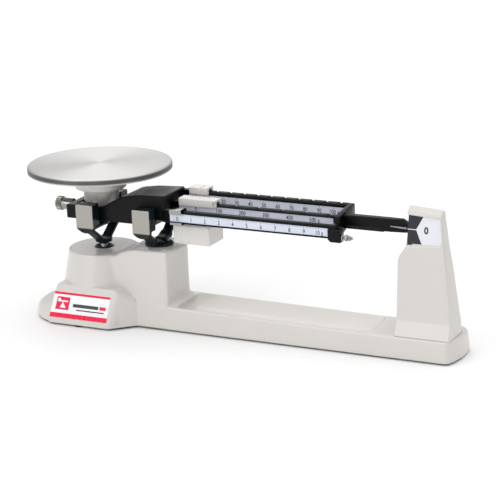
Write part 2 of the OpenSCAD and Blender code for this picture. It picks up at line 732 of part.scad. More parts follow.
base_casting();
rubber_feet();
label_plate();
stem_grommet();
fulcrum_fork();
fulcrum_nut();
fulcrum_bearings();
fulcrum_covers();
link_bracket();
link_pin();
post_housing();
post_screws();
index_plate();
damper_bracket();
damper_magnets();
beam_casting();
front_scale();
middle_scale();
rear_scale();
load_knives();
fulcrum_knives();
pointer();
damper_vane();
zero_screw();
end_stud();
end_nuts();
zero_knob();
hanger_bracket();
hanger_legs();
hanger_stem();
hanger_bearings();
hanger_covers();
pan_hub();
stem_pin();
check_link();
link_bush();
weighing_plate();
front_rider();
rider_grip();
middle_poise_saddle();
middle_poise_weight();
middle_poise_pin();
rear_poise_saddle();
rear_poise_weight();
rear_poise_pin();
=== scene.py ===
"""Looks of a triple beam balance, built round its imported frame.

Lengths in this script are millimetres, with X measured from the weighing plate's axis, Y from the
symmetry plane and Z from the casting's lower edge. place() turns them into the frame's metres.
"""
import math

import bmesh
import bpy
import numpy as np
from mathutils import Matrix, Vector


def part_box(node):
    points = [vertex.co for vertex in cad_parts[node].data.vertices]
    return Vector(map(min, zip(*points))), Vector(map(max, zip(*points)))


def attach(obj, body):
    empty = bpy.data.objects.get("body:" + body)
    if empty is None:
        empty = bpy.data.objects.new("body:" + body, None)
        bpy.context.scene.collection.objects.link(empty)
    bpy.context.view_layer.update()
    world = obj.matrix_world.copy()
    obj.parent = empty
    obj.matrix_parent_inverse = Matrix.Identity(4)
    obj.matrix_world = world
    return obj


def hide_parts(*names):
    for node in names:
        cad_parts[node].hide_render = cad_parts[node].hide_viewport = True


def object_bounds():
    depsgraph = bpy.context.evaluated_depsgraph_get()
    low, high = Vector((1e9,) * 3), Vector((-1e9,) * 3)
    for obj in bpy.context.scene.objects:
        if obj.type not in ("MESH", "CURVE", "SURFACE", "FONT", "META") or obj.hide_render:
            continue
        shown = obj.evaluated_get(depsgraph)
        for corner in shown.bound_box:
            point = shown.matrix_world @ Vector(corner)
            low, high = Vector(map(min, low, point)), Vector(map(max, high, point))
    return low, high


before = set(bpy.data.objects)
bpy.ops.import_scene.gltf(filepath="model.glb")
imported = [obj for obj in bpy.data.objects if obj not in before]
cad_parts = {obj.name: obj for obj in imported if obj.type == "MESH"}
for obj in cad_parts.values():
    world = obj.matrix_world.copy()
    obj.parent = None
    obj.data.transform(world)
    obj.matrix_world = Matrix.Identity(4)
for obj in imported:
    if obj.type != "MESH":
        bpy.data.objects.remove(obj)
cad_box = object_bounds()

MM = 0.001
plate_low, plate_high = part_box("weighing_plate")
ORIGIN = np.array([(plate_low.x + plate_high.x) / 2, 0.0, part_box("base_casting")[0].z])


def place(points):
    """Points in millimetres from the plate's axis, as metres in the frame."""
    return np.asarray(points, float) * MM + ORIGIN


def span(node):
    """The lowest and highest corner of a CAD node, in millimetres from the plate's axis."""
    return [(np.array(corner) - ORIGIN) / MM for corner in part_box(node)]


# ---- Distance fields, for the cast and moulded shapes ----

def smax(a, b, r):
    """Intersection of two fields with the edge rounded to radius r."""
    return np.minimum(-r, np.maximum(a, b)) + np.hypot(np.maximum(r + a, 0), np.maximum(r + b, 0))


def smin(a, b, r):
    """Union of two fields with a fillet of radius r."""
    return -smax(-a, -b, r)


def box_field(x, y, z, low, high, r=0.0):
    """A box between two corners, with its edges rounded to radius r."""
    q = [np.abs(v - (a + b) / 2) - (b - a) / 2 + r for v, a, b in zip((x, y, z), low, high)]
    outside = np.sqrt(sum(np.maximum(d, 0) ** 2 for d in q))
    return outside + np.minimum(np.maximum(np.maximum(q[0], q[1]), q[2]), 0) - r


def outline_field(u, v, outline):
    """Signed distance in a plane to a closed outline."""
    points = np.asarray(outline, float)
    best = np.full(np.shape(u), np.inf)
    inside = np.zeros(np.shape(u), bool)
    for (ax, ay), (bx, by) in zip(points, np.roll(points, -1, axis=0)):
        ex, ey = bx - ax, by - ay
        wx, wy = u - ax, v - ay
        t = np.clip((wx * ex + wy * ey) / (ex * ex + ey * ey), 0, 1)
        best = np.minimum(best, (wx - ex * t) ** 2 + (wy - ey * t) ** 2)
        if ey != 0:
            crosses = ((ay <= v) & (v < by)) | ((by <= v) & (v < ay))
            inside ^= crosses & (u < ax + (v - ay) * ex / ey)
    return np.where(inside, -1, 1) * np.sqrt(best)


def bar_field(x, y, z, start, end, half_x, half_t, r):
    """A rounded flat bar whose length runs from start to end in a plane of constant X."""
    start, end = np.array(start, float), np.array(end, float)
    run = (end - start)[1:]
    length = np.hypot(*run)
    run = run / length
    along = (y - start[1]) * run[0] + (z - start[2]) * run[1]
    across = (y - start[1]) * -run[1] + (z - start[2]) * run[0]
    return box_field(x - start[0], across, along, (-half_x, -half_t, 0), (half_x, half_t, length), r)


EDGES = [(a, a | bit) for bit in (1, 2, 4) for a in range(8) if not a & bit]


def field_mesh(field, low, high, step):
    """Vertices, quads and normals of a field's zero surface, found on a grid and then drawn onto it."""
    axes = [np.arange(a, b + step, step) for a, b in zip(low, high)]
    values = field(*np.meshgrid(*axes, indexing="ij"))
    inside = values < 0
    corners = [values[i:values.shape[0] - 1 + i, j:values.shape[1] - 1 + j, k:values.shape[2] - 1 + k]
               for k in (0, 1) for j in (0, 1) for i in (0, 1)]
    signs = sum((c < 0).astype(int) for c in corners)
    cells = np.argwhere((signs > 0) & (signs < 8))
    at_corner = np.stack([c[tuple(cells.T)] for c in corners], axis=1)
    total = np.zeros((len(cells), 3))
    count = np.zeros(len(cells))
    for a, b in EDGES:
        fa, fb = at_corner[:, a], at_corner[:, b]
        cross = (fa < 0) != (fb < 0)
        t = np.where(cross, fa / np.where(cross, fa - fb, 1), 0)
        pa = np.array([a & 1, a >> 1 & 1, a >> 2 & 1], float)
        pb = np.array([b & 1, b >> 1 & 1, b >> 2 & 1], float)
        total += np.where(cross[:, None], pa + t[:, None] * (pb - pa), 0)
        count += cross
    points = np.array([axis[0] for axis in axes]) + (cells + total / count[:, None]) * step
    number = -np.ones(signs.shape, int)
    number[tuple(cells.T)] = np.arange(len(cells))
    quads = []
    for axis in range(3):
        b, c = (axis + 1) % 3, (axis + 2) % 3
        first = np.take(inside, range(inside.shape[axis] - 1), axis)
        second = np.take(inside, range(1, inside.shape[axis]), axis)
        cross = np.argwhere(first != second)
        keep = (cross[:, b] > 0) & (cross[:, c] > 0)
        keep &= (cross[:, b] < inside.shape[b] - 1) & (cross[:, c] < inside.shape[c] - 1)
        cross = cross[keep]
        ring = []
        for db, dc in ((0, 0), (-1, 0), (-1, -1), (0, -1)):
            cell = cross.copy()
            cell[:, b] += db
            cell[:, c] += dc
            ring.append(number[tuple(cell.T)])
        quad = np.stack(ring, axis=1)
        leaving = first[tuple(cross.T)]
        quads.append(np.where(leaving[:, None], quad, quad[:, ::-1]))
    return (*settle(field, points, step), np.concatenate(quads))


def settle(field, points, step):
    """Moves points onto a field's zero surface and gives the surface's normals there."""
    h = 0.04
    for turn in range(4):
        slope = np.stack([(field(*(points + h * e).T) - field(*(points - h * e).T)) / (2 * h)
                          for e in np.eye(3)], axis=1)
        size = np.sum(slope ** 2, axis=1) + 1e-9
        if turn < 3:
            move = np.clip(field(*points.T), -step, step) / size
            points = points - move[:, None] * slope
    return points, slope / np.sqrt(size)[:, None]


# ---- Meshes from outlines, for the machined and folded parts ----

def outline(points, turns=6):
    """A closed outline whose points are (u, v) or (u, v, corner radius)."""
    made = []
    for i, point in enumerate(points):
        p = np.array(point[:2], float)
        radius = point[2] if len(point) > 2 else 0
        if not radius:
            made.append(tuple(p))
            continue
        a = np.array(points[i - 1][:2], float) - p
        b = np.array(points[(i + 1) % len(points)][:2], float) - p
        a, b = a / np.hypot(*a), b / np.hypot(*b)
        half = math.acos(float(np.clip(a @ b, -1, 1))) / 2
        centre = p + (a + b) / np.hypot(*(a + b)) * radius / math.sin(half)
        start = p + a * radius / math.tan(half) - centre
        end = p + b * radius / math.tan(half) - centre
        sweep = math.atan2(start[0] * end[1] - start[1] * end[0], start @ end)
        first = math.atan2(start[1], start[0])
        for k in range(turns + 1):
            angle = first + sweep * k / turns
            made.append((centre[0] + radius * math.cos(angle), centre[1] + radius * math.sin(angle)))
    return made


class Shape:
    """A mesh gathered from simple solids, in millimetres."""

    def __init__(self):
        self.points = []
        self.faces = []

    def add(self, points, faces):
        start = len(self.points)
        self.points += [tuple(p) for p in points]
        self.faces += [tuple(start + i for i in face) for face in faces]
        return self

    def loft(self, rings, closed=False):
        """Joins rings of equal length in order, with a cap at each end unless the loft is closed."""
        n, count = len(rings[0]), len(rings)
        faces = []
        for r in range(count if closed else count - 1):
            s = (r + 1) % count
            faces += [(r * n + i, r * n + (i + 1) % n, s * n + (i + 1) % n, s * n + i)
                      for i in range(n)]
        if not closed:
            faces += [tuple(reversed(range(n))), tuple(range((count - 1) * n, count * n))]
        return self.add([p for ring in rings for p in ring], faces)

    def along_x(self, points, x0, x1):
        return self.loft([[(x, u, v) for u, v in points] for x in (x0, x1)])

    def along_y(self, points, y0, y1):
        return self.loft([[(u, y, v) for u, v in points] for y in (y0, y1)])

    def box(self, x0, x1, y0, y1, z0, z1):
        return self.along_x([(y0, z0), (y1, z0), (y1, z1), (y0, z1)], x0, x1)

    def turned(self, profile, centre, axis="z", sides=96):
        """Turns a profile of (radius, height) about a line through centre."""
        rings = []
        for i in range(sides):
            c, s = math.cos(2 * math.pi * i / sides), math.sin(2 * math.pi * i / sides)
            order = {"z": lambda r, h: (r * c, r * s, h), "x": lambda r, h: (h, r * c, r * s)}[axis]
            rings.append([tuple(np.add(centre, order(r, h))) for r, h in profile])
        return self.loft(rings, closed=True)


def add_object(name, points, faces):
    mesh = bpy.data.meshes.new(name)
    mesh.from_pydata(place(points).tolist(), [], [tuple(int(i) for i in face) for face in faces])
    made = bpy.data.objects.new(name, mesh)
    bpy.context.scene.collection.objects.link(made)
    return made


def dress(piece, body, material, slot, nodes=()):
    """Gives a piece its material and the body it rides on, and hides the CAD nodes it stands for."""
    piece.data.materials.clear()
    piece.data.materials.append(material)
    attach(piece, body)
    if nodes:
        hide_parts(*nodes)
    return piece


def from_shape(name, shape, bevel=0.0, steps=2, crease=35):
    """An object from a Shape, with its sharp edges bevelled."""
    piece = add_object(name, shape.points, shape.faces)
    work = bmesh.new()
    work.from_mesh(piece.data)
    bmesh.ops.remove_doubles(work, verts=work.verts, dist=1e-7)
    bmesh.ops.recalc_face_normals(work, faces=work.faces)
    if bevel:
        limit = math.radians(crease)
        sharp = [e for e in work.edges if len(e.link_faces) == 2 and e.calc_face_angle(0) > limit]
        bmesh.ops.bevel(work, geom=sharp, offset=bevel * MM, segments=steps, profile=0.5,
                        affect="EDGES", clamp_overlap=True)
    work.to_mesh(piece.data)
    work.free()
    piece.data.shade_smooth()
    piece.data.set_sharp_from_angle(angle=math.radians(crease))
    return piece


def from_field(name, field, low, high, step):
    """An object from a distance field, shaded with the field's own normals."""
    points, normals, quads = field_mesh(field, low, high, step)
    piece = add_object(name, points, quads)
    piece.data.shade_smooth()
    piece.data.normals_split_custom_set_from_vertices(normals.tolist())
    return piece


# ---- Materials ----

def linear(red, green, blue):
    """A colour given in 0 to 255 display values, as linear light."""
    return tuple(((v / 255 + 0.055) / 1.055) ** 2.4 if v > 10 else v / 3294.6
                 for v in (red, green, blue))


class Look:
    """A material's node tree, with the object's own coordinates at hand."""

    def __init__(self, name, roughness, metallic=0.0, **sockets):
        self.material = bpy.data.materials.new(name)
        self.material.use_nodes = True
        self.nodes = self.material.node_tree.nodes
        self.links = self.material.node_tree.links
        self.shader = self.nodes["Principled BSDF"]
        self.shader.inputs["Roughness"].default_value = roughness
        self.shader.inputs["Metallic"].default_value = metallic
        for socket, value in sockets.items():
            self.shader.inputs[socket.replace("_", " ")].default_value = value
        self.where = self.node("ShaderNodeTexCoord").outputs["Object"]

    def node(self, kind, **settings):
        made = self.nodes.new(kind)
        for key, value in settings.items():
            setattr(made, key, value)
        return made

    def link(self, output, socket):
        self.links.new(output, socket)

    def noise(self, scale, detail=2.0, stretch=None, vector=None):
        """Noise from 0 to 1 of about the given number of grains in a metre."""
        vector = vector or self.where
        if stretch:
            mapping = self.node("ShaderNodeMapping")
            mapping.inputs["Scale"].default_value = stretch
            self.link(vector, mapping.inputs["Vector"])
            vector = mapping.outputs["Vector"]
        made = self.node("ShaderNodeTexNoise")
        made.inputs["Scale"].default_value = scale
        made.inputs["Detail"].default_value = detail
        self.link(vector, made.inputs["Vector"])
        return made.outputs["Fac"]

    def ranged(self, value, low, high, start=0.3, stop=0.7):
        made = self.node("ShaderNodeMapRange")
        for key, number in (("From Min", start), ("From Max", stop), ("To Min", low), ("To Max", high)):
            made.inputs[key].default_value = number
        self.link(value, made.inputs["Value"])
        return made.outputs["Result"]

    def blend(self, value, first, second):
        """A colour between two, each of them fixed or another node's output."""
        made = self.node("ShaderNodeMix", data_type="RGBA")
        for socket, colour in ((made.inputs[6], first), (made.inputs[7], second)):
            if isinstance(colour, tuple):
                socket.default_value = (*colour, 1)
            else:
                self.link(colour, socket)
        self.link(value, made.inputs[0])
        return made.outputs[2]

    def colour(self, output):
        self.link(output, self.shader.inputs["Base Color"])

    def roughness(self, output):
        self.link(output, self.shader.inputs["Roughness"])

    def bump(self, height, strength, distance=0.0002):
        made = self.node("ShaderNodeBump")
        made.inputs["Strength"].default_value = strength
        made.inputs["Distance"].default_value = distance
        self.link(height, made.inputs["Height"])
        if self.shader.inputs["Normal"].is_linked:
            self.link(self.shader.inputs["Normal"].links[0].from_socket, made.inputs["Normal"])
        self.link(made.outputs["Normal"], self.shader.inputs["Normal"])

    def between(self, low, high, soft=0.25):
        """1 where the object's height lies between two heights in millimetres, and 0 elsewhere."""
        split = self.node("ShaderNodeSeparateXYZ")
        self.link(self.where, split.inputs[0])
        foot, top, soft = (ORIGIN[2] + low * MM, ORIGIN[2] + high * MM, soft * MM)
        above = self.ranged(split.outputs["Z"], 0, 1, foot - soft, foot + soft)
        below = self.ranged(split.outputs["Z"], 1, 0, top - soft, top + soft)
        both = self.node("ShaderNodeMath", operation="MULTIPLY")
        self.link(above, both.inputs[0])
        self.link(below, both.inputs[1])
        return both.outputs[0]

    def facing_up(self, end):
        """1 on surfaces that face up to the left of a length in millimetres, and 0 elsewhere."""
        place_split, normal_split = (self.node("ShaderNodeSeparateXYZ") for _ in range(2))
        self.link(self.where, place_split.inputs[0])
        self.link(self.node("ShaderNodeNewGeometry").outputs["Normal"], normal_split.inputs[0])
        limit = ORIGIN[0] + end * MM
        left = self.ranged(place_split.outputs["X"], 1, 0, limit - 2 * MM, limit + 2 * MM)
        up = self.ranged(normal_split.outputs["Z"], 0, 1, 0.75, 0.98)
        both = self.node("ShaderNodeMath", operation="MULTIPLY")
        self.link(left, both.inputs[0])
        self.link(up, both.inputs[1])
        return both.outputs[0]

    def edges(self, low=0.5, high=0.6):
        """0 on flat faces and 1 on outer edges."""
        return self.ranged(self.node("ShaderNodeNewGeometry").outputs["Pointiness"], 0, 1, low, high)


def shade(colour, factor):
    return tuple(min(1.0, channel * factor) for channel in colour)


def enamel(name, colour, roughness=0.33, peel=420, depth=0.16):
    """Sprayed enamel: soft orange peel, slightly uneven tone and a thin clear gloss."""
    look = Look(name, roughness, Coat_Weight=0.25, Coat_Roughness=0.18)
    tone = look.blend(look.noise(14, 3), shade(colour, 0.965), shade(colour, 1.02))
    # Painted highlight: outer edges are made a little lighter.
    look.colour(look.blend(look.edges(0.52, 0.62), tone, shade(colour, 1.05)))
    look.roughness(look.ranged(look.noise(60, 4), roughness - 0.05, roughness + 0.07))
    look.bump(look.noise(peel, 2), depth, 0.00012)
    look.bump(look.noise(3200, 1), 0.05, 0.00003)
    return look.material


def satin_black(name, colour, roughness=0.32, grain=1500, top=None, painted_sheen_end=0):
    """Black powder coat with a fine grain, with a painted highlight along its edges and, when top is
    given, a painted sheen on the upward faces of its left part.
    """
    look = Look(name, roughness, Specular_IOR_Level=0.18)
    tone = look.blend(look.noise(35, 3), shade(colour, 0.8), shade(colour, 1.25))
    # Painted sheen: upward faces left of the given length take the lighter top colour.
    if top:
        tone = look.blend(look.facing_up(painted_sheen_end), tone, top)
    # Painted highlight: outer edges are made 3.2 times brighter.
    look.colour(look.blend(look.edges(0.53, 0.68), tone, shade(colour, 3.2)))
    look.roughness(look.ranged(look.noise(110, 3), roughness - 0.07, roughness + 0.09))
    look.bump(look.noise(grain, 2), 0.14, 0.00008)
    return look.material


def brushed(name, colour, roughness, stretch, grain=260, tone=0.1, lip=None):
    """Brushed metal whose lines run along the axis that stretch keeps long, with painted shade darkening
    it below the height lip.
    """
    look = Look(name, roughness, 1.0, Anisotropic=0.35)
    lines = look.noise(grain, 4, stretch)
    metal_tone = look.blend(look.ranged(lines, 0, 1), shade(colour, 1 - tone), shade(colour, 1 + tone / 2))
    # Painted shade: everything below the height lip is darkened to 12 percent of the metal's colour.
    if lip:
        metal_tone = look.blend(look.between(0, lip, 0.4), metal_tone, shade(colour, 0.12))
    look.colour(metal_tone)
    look.roughness(look.ranged(look.noise(grain * 2, 3, stretch), roughness - 0.06, roughness + 0.1))
    look.bump(lines, 0.12, 0.00005)
    return look.material


def metal(name, colour, roughness, tone=0.06, grain=900, strength=0.05):
    """Plain turned or plated metal with faint cloudiness and fine marks."""
    look = Look(name, roughness, 1.0)
    look.colour(look.blend(look.noise(90, 3), shade(colour, 1 - tone), shade(colour, 1 + tone / 2)))
    look.roughness(look.ranged(look.noise(300, 4), roughness - 0.05, roughness + 0.07))
    look.bump(look.noise(grain, 3), strength, 0.00004)
    return look.material


def plastic(name, colour, roughness, tone=0.06, grain=1800, strength=0.08):
    """Moulded plastic, rubber or printed film."""
    look = Look(name, roughness)
    look.colour(look.blend(look.noise(70, 3), shade(colour, 1 - tone), shade(colour, 1 + tone / 2)))
    look.roughness(look.ranged(look.noise(240, 3), roughness - 0.05, roughness + 0.06))
    look.bump(look.noise(grain, 2), strength, 0.00004)
    return look.material


def spun(name, colour, rim_low, rim_high):
    """Sheet spun on a lathe: fine rings that spread the light along the radius, and a painted dark
    reflection on its rim.
    """
    look = Look(name, 0.5, 1.0, Anisotropic=0.62, Anisotropic_Rotation=0.25)
    shift = look.node("ShaderNodeVectorMath", operation="SUBTRACT")
    shift.inputs[1].default_value = (ORIGIN[0], 0, 0)
    look.link(look.where, shift.inputs[0])
    flat = look.node("ShaderNodeVectorMath", operation="MULTIPLY")
    flat.inputs[1].default_value = (1, 1, 0)
    look.link(shift.outputs[0], flat.inputs[0])
    radius = look.node("ShaderNodeVectorMath", operation="LENGTH")
    look.link(flat.outputs[0], radius.inputs[0])
    ring = look.node("ShaderNodeCombineXYZ")
    look.link(radius.outputs["Value"], ring.inputs["X"])
    fine = look.noise(1500, 3, vector=ring.outputs[0])
    broad = look.noise(120, 3, vector=ring.outputs[0])
    face = look.blend(look.ranged(fine, 0, 1), shade(colour, 0.96), shade(colour, 1.03))
    # Painted dark reflection: the rim, between rim_low and rim_high, is coloured 9 to 30 percent of the
    # sheet.
    band = look.blend(look.noise(22, 1), shade(colour, 0.09), shade(colour, 0.3))
    look.colour(look.blend(look.between(rim_low, rim_high, 0.7), face, band))
    look.roughness(look.ranged(broad, 0.47, 0.54))
    look.bump(fine, 0.04, 0.00002)
    tangent = look.node("ShaderNodeTangent", direction_type="RADIAL", axis="Z")
    look.link(tangent.outputs[0], look.shader.inputs["Tangent"])
    return look.material


PLATE_TOP = span("weighing_plate")[1][2]
RIM = 7.5

ENAMEL = enamel("cast_enamel", linear(214, 210, 206))
POST_ENAMEL = enamel("post_enamel", linear(213, 209, 205), 0.36, 520, 0.1)
HUB_ENAMEL = enamel("hub_enamel", linear(214, 210, 205), 0.3, 600, 0.08)
POISE_ENAMEL = enamel("poise_enamel", linear(219, 215, 211), 0.3, 700, 0.08)
# The beam's body gets a painted sheen: its upward faces left of X 97 mm are lightened to grey.
BEAM_BLACK = satin_black("beam_black", linear(4, 4, 8), top=linear(84, 84, 86), painted_sheen_end=97)
BRACKET_BLACK = satin_black("bracket_black", linear(20, 30, 36), 0.26)
LIP_Z = 102.8
# The covers' bent-in lower ends, below LIP_Z, get painted shade.
STEEL_COVER = brushed("cover_steel", linear(168, 164, 158), 0.3, (1, 1, 14), lip=LIP_Z)
# The plate's turned-down rim gets a painted dark reflection.
STEEL_PLATE = spun("plate_steel", linear(214, 213, 211), PLATE_TOP - RIM + 1.3, PLATE_TOP - 1.6)
KNIFE_STEEL = metal("knife_steel", linear(176, 177, 180), 0.24)
ZINC = metal("zinc_steel", linear(165, 165, 169), 0.34, 0.12)
CHROME = metal("chrome", linear(158, 157, 156), 0.16, 0.05)
KNURL = metal("knurl_chrome", linear(150, 148, 144), 0.2, 0.08)
BRASS = metal("bush_brass", linear(205, 170, 105), 0.3)
MAGNET = metal("magnet", linear(82, 82, 86), 0.45, 0.15)
ALUMINIUM = brushed("vane_aluminium", linear(190, 192, 196), 0.32, (14, 1, 1))
RUBBER = plastic("rubber", linear(38, 38, 38), 0.75, 0.2, 1400, 0.25)
BLACK_PLASTIC = plastic("black_plastic", linear(20, 21, 24), 0.4)
STRIP = plastic("scale_enamel", linear(215, 221, 235), 0.34, 0.03)
INK = plastic("scale_ink", linear(40, 42, 52), 0.45, 0.1)
INDEX_WHITE = plastic("index_white", linear(230, 232, 237), 0.4, 0.03)
POINTER_GREY = plastic("pointer_grey", linear(150, 153, 162), 0.35, 0.04)
INDEX_BLACK = plastic("index_black", linear(24, 25, 30), 0.42, 0.1)
FILM = plastic("label_film", linear(246, 249, 249), 0.3, 0.02)
RED = plastic("label_red", linear(240, 10, 72), 0.3, 0.04)
GREY_INK = plastic("label_ink", linear(60, 62, 66), 0.35, 0.08)

# ---- Base casting ----

LOBE_X, LOBE_R, NECK_X0 = -25.5, 53.0, 31.0
SLAB_HALF = 31.5
NECK = (53.0, SLAB_HALF)
WEDGE_LEFT, WEDGE_H, SHOULDER_X = (-42.5, -34.0), 41.0, 38.0
LEAN = 0.977  # of the sloping face, as the cosine of its angle
SLAB_TOP = 21.5
BLOCK_TOP = 82.5
PILLAR_TOP = 73.8
WALL = 3
FEET = ((-8, 46.5), (380, 21))  # the two on the rear side; the others mirror them


def face_y(z):
    """Depth of the label's sloping face at a height."""
    return -53.3 + 9.0 * z / WEDGE_H


def slab_top(x):
    """Height of the slab, which falls towards the post."""
    return np.interp(x, [58, 330], [25, SLAB_TOP])


def slab_field(x, y, z):
    lean, end_bulge = 0.06, 6
    end_r = (SLAB_HALF ** 2 + end_bulge ** 2) / (2 * end_bulge)
    side = np.abs(y) - SLAB_HALF + lean * z
    end = np.hypot(np.maximum(x - 404.5 + end_r, 0), y) - end_r + lean * z
    corner_r = np.where(y > 0, np.interp(z, [0, SLAB_TOP], [3, 14]), 3.5)
    return np.maximum(smax(smax(side, end, corner_r), z - slab_top(x), 2.0), 28 - x)


def neck_plane(x, y):
    """Distance in front of the upright planes that narrow the wide end to the slab's width."""
    run = np.array([NECK[0] - NECK_X0, NECK[1] - LOBE_R])
    return (-(x - NECK_X0) * run[1] + (np.abs(y) - LOBE_R) * run[0]) / np.hypot(*run)


def lobe_field(x, y, z):
    """The wide low end round the pillar, domed a little and falling to the left."""
    round_end = np.hypot(np.minimum(x - LOBE_X, 0), y) - LOBE_R
    plan = smax(round_end, neck_plane(x, y), 9)
    return smax(plan + 0.005 * (z - 6) ** 2, z - 24 - 0.075 * (x - 45), 12)


def wedge_left(x, z):
    """Distance past the wedge's left side, which leans to the right."""
    return (WEDGE_LEFT[0] + z * (WEDGE_LEFT[1] - WEDGE_LEFT[0]) / WEDGE_H - x) * 0.98


def wedge_field(x, y, z):
    """The block whose sloping front carries the label, with its right shoulder falling away."""
    front = face_y(z) - 3 - y
    shoulder = ((x - SHOULDER_X) * 16 + (z - WEDGE_H) * 20) / 25.6
    body = smax(np.maximum(front, z - WEDGE_H), wedge_left(x, z), 1.2)
    body = smax(body, smax(neck_plane(x, y), shoulder, 4), 4)
    return np.maximum(body, y)


def block_field(x, y, z):
    """The fulcrum block: flat in front, rounded at its right rear edge."""
    half = np.abs(y) - 30.6 + 0.017 * z
    right = x - 93 + 3 * np.clip((-y - 15) / 15, 0, 1)
    plan = np.where(y > 0, smax(half, right, 21), smax(half, right, 2.4))
    slope = ((z - PILLAR_TOP) * 16 - (x - 29) * 8.7) / 18.2
    return np.maximum(smax(plan, smax(z - BLOCK_TOP, slope, 5), 3), 20 - x)


def base_solid(x, y, z):
    """The casting's outer form, with the room in front of the label and the tray taken out."""
    pillar = smax((np.hypot(x, y) - 51.6 + 0.194 * z) * 0.982, z - PILLAR_TOP, 2)
    body = smin(smin(pillar, block_field(x, y, z), 2.0), wedge_field(x, y, z), 0.8)
    body = smin(body, lobe_field(x, y, z), 1.2)
    ahead = np.maximum(np.maximum((y - face_y(z)) * LEAN, wedge_left(x, z)), x - NECK[0])
    body = smax(body, -ahead, 1.6)
    apron = 1 + 6 * np.clip((28 - np.abs(y)) / 8, 0, 1) * np.clip((x - 80) / 12, 0, 1)
    body = smin(body, slab_field(x, y, z), apron)
    tray_half, tray_deep, tray_mid, tray_reach = 28.3, 8.5, 205, 107
    tray_r = (tray_half ** 2 + tray_deep ** 2) / (2 * tray_deep)
    tray = np.hypot(y, z - slab_top(x) + tray_deep - tray_r) - tray_r
    return smax(body, -smax(tray, np.abs(x - tray_mid) - tray_reach, 5), 1.0)


def base_field(x, y, z):
    """The casting, hollow from below, with bosses for the feet and the stem's hole."""
    solid = base_solid(x, y, z)
    shell = np.maximum(solid, -(solid + WALL))
    boss_r = np.minimum(*(np.hypot(x - foot_x, np.abs(y) - foot_y) for foot_x, foot_y in FEET)) - 7
    shell = np.minimum(shell, np.maximum(np.maximum(boss_r, z - 8), solid))
    shell = smax(shell, -np.maximum(np.hypot(x, y) - 9.5, 60 - z), 0.8)
    return smax(shell, -z, 0.6)


dress(from_field("base_casting_body", base_field, (-81, -56, -2), (407, 56, 85), 1.5),
      "base", ENAMEL, "enamel_cast", ["base_casting"])

# ---- Post ----

POST_Z0, POST_LEAN = 36.8, 0.1414
ZERO_Z = 126.5


def post_half(z):
    """Half depth of the post, with its skirt flaring below POST_Z0."""
    above = 22 - POST_LEAN * (z - POST_Z0)
    below = 22 + 0.392 * (POST_Z0 - z)
    return 0.5 * (above + below + np.hypot(above - below, 0.15))


def post_solid(x, y, z):
    half = post_half(z)
    low_left = 341.3 - 0.02 * (z - POST_Z0) - np.maximum(POST_Z0 - z, 0) * 0.08 - x
    chamfer = ((z - 98) * 6.9 - (x - 340.1) * 10) / 12.15
    left = smin(smax(low_left, chamfer, 2.5), 348.2 - x, 1.5)
    edge = np.interp(z, [21, 36.8, 93.9, 112, 142, 150], [398.6, 398.3, 390.2, 387, 383.5, 382.7])
    right = x - edge - 0.9 * (1 - np.clip(y / half, -1, 1) ** 2)
    rear_r = np.interp(z, [21, 36.8, 112, 150], [25, 21.2, 9, 3])
    plan = smax(smax((y - half) * 0.99, right, rear_r), (-y - half) * 0.99, 1.0)
    ridge = 149.9 - 0.07 * (x - 347.9)
    roof = (z - ridge + 0.87 * np.hypot(y, 1.2)) * 0.754
    return smax(smax(plan, left, 1.4), roof, 1.2)


def post_field(x, y, z):
    """The post as a shell, with the index window and the slot for the beam's tail."""
    solid = post_solid(x, y, z)
    depth = (y + post_half(z)) * 0.99
    sill = np.interp(depth, [0, 1.7], [0, 1])
    sill_z = (1 - sill) * (108.7 + 0.09 * (x - 347.4)) + sill * (112.9 + 0.02 * (x - 349))
    frame_x = 385.6 - 0.125 * (z - 113.4)
    lintel = 140.6 - 0.046 * (x - 349.4)
    window = smax(smax(x - frame_x, z - lintel, 0.8), sill_z - z, 0.5)
    window = np.maximum(window, depth - 2.6)
    slot = box_field(x, y, z, (330, -5.5, 108.8), (352, 6.4, 144), 0.8)
    corner = box_field(x, y, z, (330, -30, 113.3), (352, 0, 140.4), 0.5)
    shell = np.maximum(solid, -(solid + 2))
    shell = smax(shell, -np.minimum(np.minimum(window, slot), corner), 0.5)
    return smax(shell, SLAB_TOP + 0.05 - z, 0.4)


dress(from_field("post_body", post_field, (337, -31, 19), (403, 31, 152), 0.9),
      "base", POST_ENAMEL, "enamel_post", ["post_housing"])

# ---- Beam ----

BEAM_HALF = 23.0
RAIL_X0, RAIL_X1 = 88.0, 273.6
BEAM_SIDE = outline([(-30.4, 107.8, 1), (75, 107.8, 3), (77, 114.5, 2), (RAIL_X0, 114.5, 2),
                     (RAIL_X0, 141, 2), (58, 139.5, 60), (38, 136.6, 30), (12, 122.7, 24),
                     (-30.4, 122.7, 1.5)], 8)
BEAM_HOLLOW = [(33, 95), (33, 126), (44, 133), (84, 136), (84, 117.5), (74, 117.5), (71, 95)]


def beam_field(x, y, z):
    side = outline_field(x, z, BEAM_SIDE)
    yoke = smax(np.abs(x - 3) - 25, np.abs(y) - 16, 4)
    hollow = smax(outline_field(x, z, BEAM_HOLLOW), np.abs(y) - 19, 1)
    body = smax(side, np.abs(y) - BEAM_HALF, 1.6)
    body = smax(body, -yoke, 1.2)
    return smax(body, -hollow, 0.6)


dress(from_field("beam_body", beam_field, (-33, -25, 105), (91, 25, 143), 0.85),
      "beam", BEAM_BLACK, "beam_black", ["beam_casting"])


